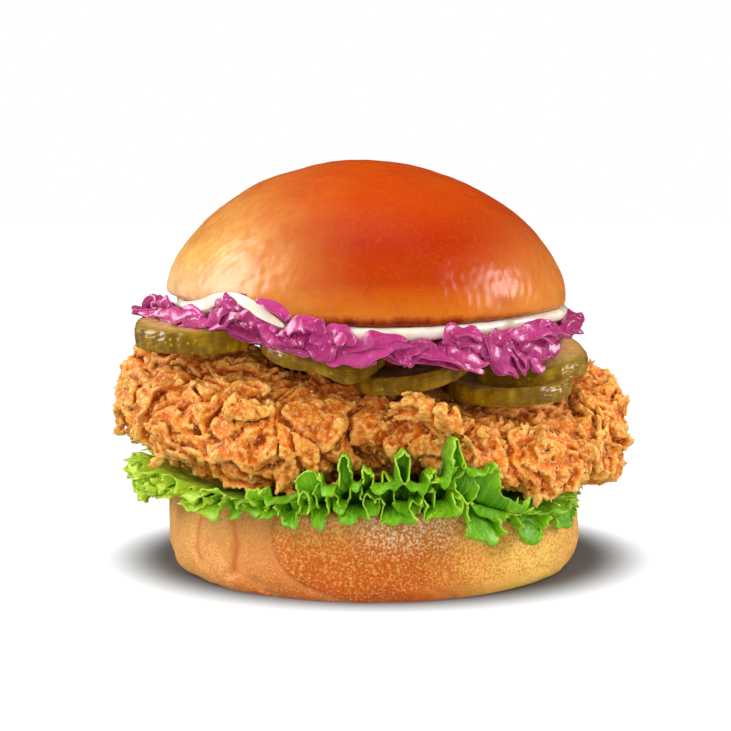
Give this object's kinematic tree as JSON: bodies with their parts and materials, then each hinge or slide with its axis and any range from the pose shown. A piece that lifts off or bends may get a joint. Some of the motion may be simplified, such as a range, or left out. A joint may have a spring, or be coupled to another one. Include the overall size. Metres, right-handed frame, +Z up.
{
  "type": "chicken burger",
  "caption": "Fried chicken fillet in a glossy round bun, with curly lettuce, pickle slices, red cabbage slaw and mayonnaise.",
  "frame": {"origin": "centre of the heel's flat underside, on the surface that the burger stands on", "axes": "+Z up, +X to the right seen from the front, -Y towards the front; the fillet's long side runs along X"},
  "size_m": [0.1354, 0.1208, 0.106],
  "materials": {
    "heel_bread": "baked bread crust, golden brown, finely pored and mottled",
    "lettuce_leaf": "fresh curly lettuce leaf, thin, waxy, paler at the frilled edge",
    "fried_crust": "craggy deep-fried breading, golden orange, flecked with pepper",
    "pickle": "wet olive-green pickled cucumber, paler flesh",
    "red_cabbage": "shredded red cabbage, pink-purple, glossy with dressing",
    "mayonnaise": "thick creamy off-white sauce, glossy",
    "crown_bread": "egg-glazed bun crust, glossy, deep orange-brown on top and golden at the base"
  },
  "bodies": {
    "root": {"heel": "heel_bread", "lettuce": "lettuce_leaf", "fillet": "fried_crust", "pickle_1": "pickle", "pickle_2": "pickle", "pickle_3": "pickle", "pickle_4": "pickle", "pickle_5": "pickle", "pickle_6": "pickle", "pickle_7": "pickle", "pickle_8": "pickle", "slaw": "red_cabbage", "mayonnaise": "mayonnaise", "crown": "crown_bread"}
  },
  "joints": []
}
